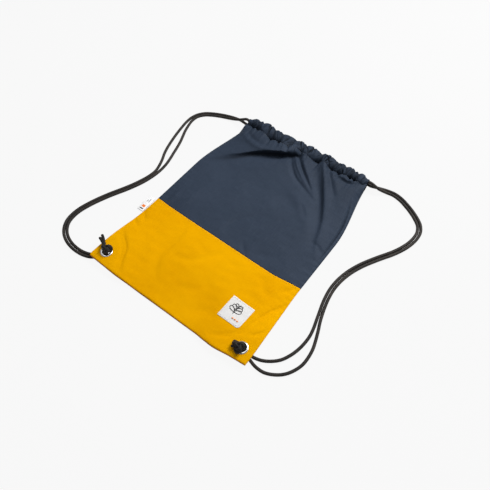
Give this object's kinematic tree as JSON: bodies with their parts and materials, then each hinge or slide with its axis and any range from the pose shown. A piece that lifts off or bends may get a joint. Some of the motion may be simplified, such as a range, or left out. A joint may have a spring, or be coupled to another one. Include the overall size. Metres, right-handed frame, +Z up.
{
  "type": "drawstring backpack",
  "caption": "Flat drawstring backpack: two-colour fabric sack, gathered mouth casing, paired cords tied through eyelets at the bottom corners.",
  "frame": {"origin": "centre of the underside, on the surface that the bag lies on, halfway between the bottom edge and the rim of the mouth", "axes": "+X to the right as the front is read, +Y from the bottom edge to the mouth, +Z up out of the front face"},
  "size_m": [0.557, 0.4751, 0.0249],
  "materials": {
    "navy_fabric": "dense plain-weave polyester, slight sheen",
    "mustard_fabric": "dense plain-weave polyester, slight sheen",
    "binding_tape": "woven tape",
    "black_cord": "round braided cord",
    "eyelet_metal": "bright nickel plate",
    "white_label": "woven damask label"
  },
  "bodies": {
    "bag": {"front_upper_panel": "navy_fabric", "back_upper_panel": "navy_fabric", "front_lower_panel": "mustard_fabric", "back_lower_panel": "mustard_fabric", "front_casing": "navy_fabric", "back_casing": "navy_fabric", "left_side_binding": "binding_tape", "right_side_binding": "binding_tape", "bottom_binding": "binding_tape", "left_corner_reinforcement": "mustard_fabric", "right_corner_reinforcement": "mustard_fabric", "left_eyelet": "eyelet_metal", "right_eyelet": "eyelet_metal", "left_eyelet_washer": "eyelet_metal", "right_eyelet_washer": "eyelet_metal", "woven_patch": "white_label", "left_front_strand": "black_cord", "left_back_strand": "black_cord", "right_front_strand": "black_cord", "right_back_strand": "black_cord"},
    "left_drawcord": {"left_cord_in_casing": "black_cord"},
    "right_drawcord": {"right_cord_in_casing": "black_cord"},
    "left_knot": {"left_knot": "black_cord"},
    "right_knot": {"right_knot": "black_cord"},
    "side_label": {"side_label": "white_label"}
  },
  "joints": [
    {"name": "left_drawcord_slide", "type": "slide", "parent": "bag", "child": "left_drawcord", "axis": [-1, 0, 0], "range_m": [-0.03, 0.06], "deforming": ["front_casing", "back_casing", "front_upper_panel", "back_upper_panel", "left_front_strand", "left_back_strand"]},
    {"name": "right_drawcord_slide", "type": "slide", "parent": "bag", "child": "right_drawcord", "axis": [1, 0, 0], "range_m": [-0.03, 0.06], "deforming": ["front_casing", "back_casing", "front_upper_panel", "back_upper_panel", "right_front_strand", "right_back_strand"]},
    {"name": "left_knot_swivel", "type": "hinge", "parent": "bag", "child": "left_knot", "pos_m": [-0.153, -0.2045, 0.0125], "axis": [0, 0, 1], "range_deg": [-40, 40]},
    {"name": "right_knot_swivel", "type": "hinge", "parent": "bag", "child": "right_knot", "pos_m": [0.153, -0.2045, 0.0125], "axis": [0, 0, 1], "range_deg": [-40, 40]},
    {"name": "side_label_flap", "type": "hinge", "parent": "bag", "child": "side_label", "pos_m": [-0.169, -0.0765, 0.0024], "axis": [0, 1, 0], "range_deg": [0, 90]}
  ]
}
